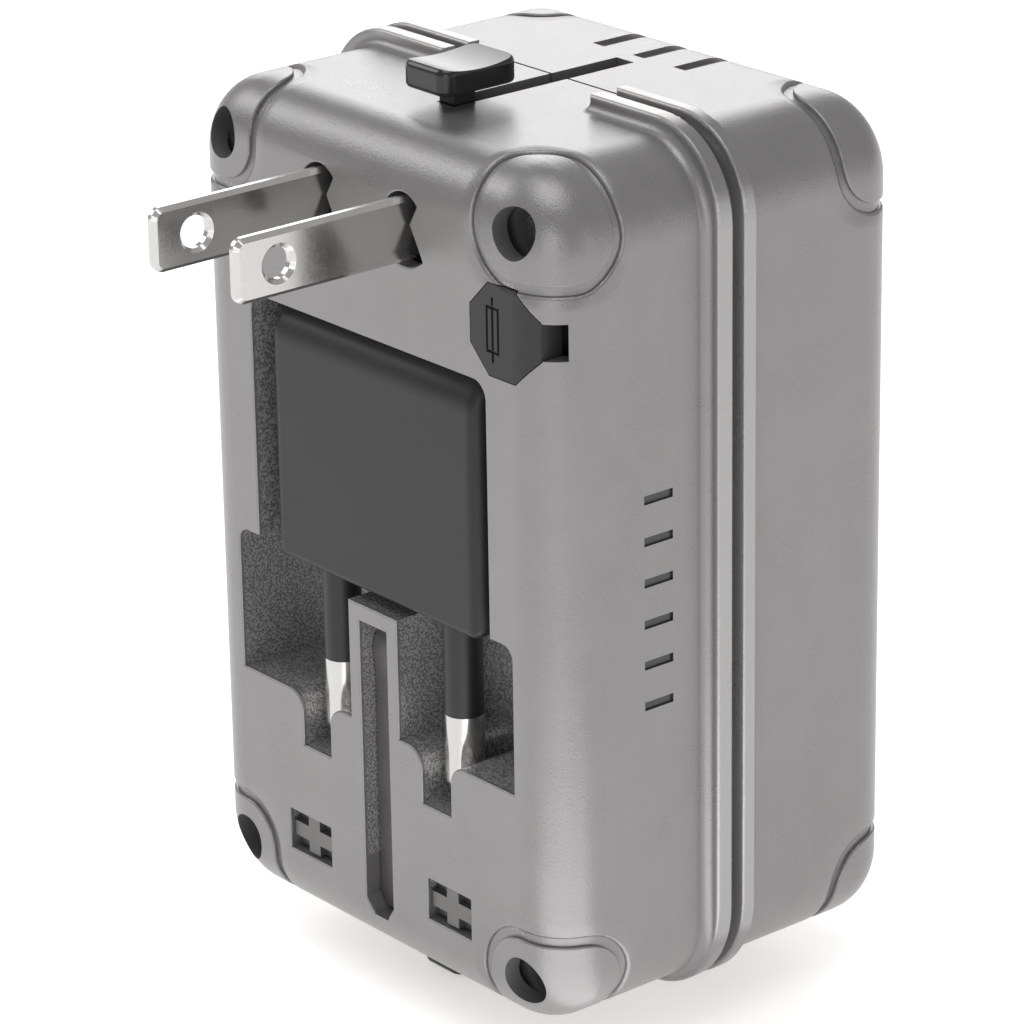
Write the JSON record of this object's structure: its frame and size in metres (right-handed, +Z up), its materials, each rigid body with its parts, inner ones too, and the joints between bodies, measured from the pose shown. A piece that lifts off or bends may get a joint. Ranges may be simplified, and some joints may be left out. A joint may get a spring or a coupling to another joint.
{
  "type": "universal travel adapter",
  "caption": "Mains travel adapter: rounded case with sliding flat blades, a folding round-pin block, a sliding three-pin plug with folding earth pin, and a rear outlet with charging ports.",
  "frame": {"origin": "centre of the flat plug face, midway between the case's sides and between its top and bottom", "axes": "+X to the right seen from the plug side, +Y from the plug face into the case towards the outlet, +Z up, towards the flat blades"},
  "size_m": [0.0586, 0.065, 0.0956],
  "materials": {
    "case_grey": "satin grey with a fine bead-blasted grain",
    "block_grey": "dark grey satin moulded plastic",
    "cover_grey": "dark grey fine-textured plastic",
    "knob_black": "black satin plastic",
    "socket_black": "black fine-textured plastic",
    "inner_nylon": "natural nylon, plain moulded",
    "carriage_black": "black glass-filled nylon",
    "tip_nickel": "satin nickel-plated brass",
    "pin_nickel": "nickel-plated brass, polished",
    "earth_grey": "dark nickel-plated brass, satin",
    "contact_brass": "bare sheet brass",
    "steel": "bright steel",
    "sleeve_black": "black insulating sleeve",
    "fuse_ceramic": "glazed ceramic",
    "board_green": "green solder mask",
    "ferrite": "sintered ferrite",
    "copper": "enamelled copper wire",
    "can_aluminium": "drawn can",
    "lens_clear": "clear light guide"
  },
  "bodies": {
    "case": {"front_shell": "case_grey", "rear_shell": "case_grey", "socket_face": "socket_black", "contact_housing": "inner_nylon", "live_contact": "contact_brass", "neutral_contact": "contact_brass", "earth_contact": "contact_brass", "inner_frame": "inner_nylon", "us_guide": "inner_nylon", "uk_guide": "inner_nylon", "eu_hinge_pins": "steel", "earth_hinge_pin": "steel", "fuse_holder": "inner_nylon", "fuse_clip": "contact_brass", "charger_board": "board_green", "usb_a_port": "steel", "usb_a_tongue": "socket_black", "usb_c_port": "steel", "usb_c_tongue": "socket_black", "transformer_core": "ferrite", "transformer_coil": "copper", "capacitors": "can_aluminium", "driver_chips": "ferrite", "choke": "copper", "light_pipe": "lens_clear", "case_screws": "steel"},
    "us_carriage": {"us_carrier": "carriage_black", "us_retainer": "carriage_black", "us_knob": "knob_black"},
    "us_left": {"us_blade_left": "pin_nickel", "us_hub_left": "carriage_black"},
    "us_right": {"us_blade_right": "pin_nickel", "us_hub_right": "carriage_black"},
    "eu_plug": {"eu_block": "block_grey", "eu_block_cover": "block_grey", "eu_pin_left": "pin_nickel", "eu_pin_right": "pin_nickel", "eu_sleeve_left": "sleeve_black", "eu_sleeve_right": "sleeve_black", "eu_links": "contact_brass"},
    "uk_carriage": {"uk_carrier": "carriage_black", "uk_pin_left": "tip_nickel", "uk_pin_right": "tip_nickel", "uk_knob": "knob_black"},
    "uk_earth": {"uk_earth_pin": "earth_grey"},
    "lock": {"lock_button": "knob_black", "lock_spring": "steel"},
    "fuse_drawer": {"fuse_cover": "cover_grey", "fuse_tube": "fuse_ceramic", "fuse_caps": "pin_nickel"},
    "outlet_shutter": {"shutter": "socket_black", "shutter_spring": "steel"}
  },
  "joints": [
    {"name": "us_slide", "type": "slide", "parent": "case", "child": "us_carriage", "axis": [0, 1, 0], "range_m": [0, 0.0199]},
    {"name": "us_twist_left", "type": "hinge", "parent": "us_carriage", "child": "us_left", "pos_m": [-0.00635, 0, 0.03545], "axis": [0, 1, 0], "range_deg": [0, 30]},
    {"name": "us_twist_right", "type": "hinge", "parent": "us_carriage", "child": "us_right", "pos_m": [0.00635, 0, 0.03545], "axis": [0, -1, 0], "range_deg": [0, 30]},
    {"name": "eu_fold", "type": "hinge", "parent": "case", "child": "eu_plug", "pos_m": [0, 0.0043, 0.0174], "axis": [-1, 0, 0], "range_deg": [0, 90]},
    {"name": "uk_slide", "type": "slide", "parent": "case", "child": "uk_carriage", "axis": [0, -1, 0], "range_m": [0, 0.0182]},
    {"name": "earth_fold", "type": "hinge", "parent": "case", "child": "uk_earth", "pos_m": [0, 0.00495, -0.01095], "axis": [-1, 0, 0], "range_deg": [0, 90]},
    {"name": "lock_press", "type": "slide", "parent": "case", "child": "lock", "axis": [0, 0, 1], "range_m": [0, 0.0014], "stiffness_N_per_m": 300, "springref_m": -0.001},
    {"name": "fuse_pull", "type": "slide", "parent": "case", "child": "fuse_drawer", "axis": [0, -1, 0], "range_m": [0, 0.029]},
    {"name": "shutter_drop", "type": "slide", "parent": "case", "child": "outlet_shutter", "axis": [0, 0, -1], "range_m": [0, 0.0076], "stiffness_N_per_m": 30, "springref_m": -0.002}
  ]
}
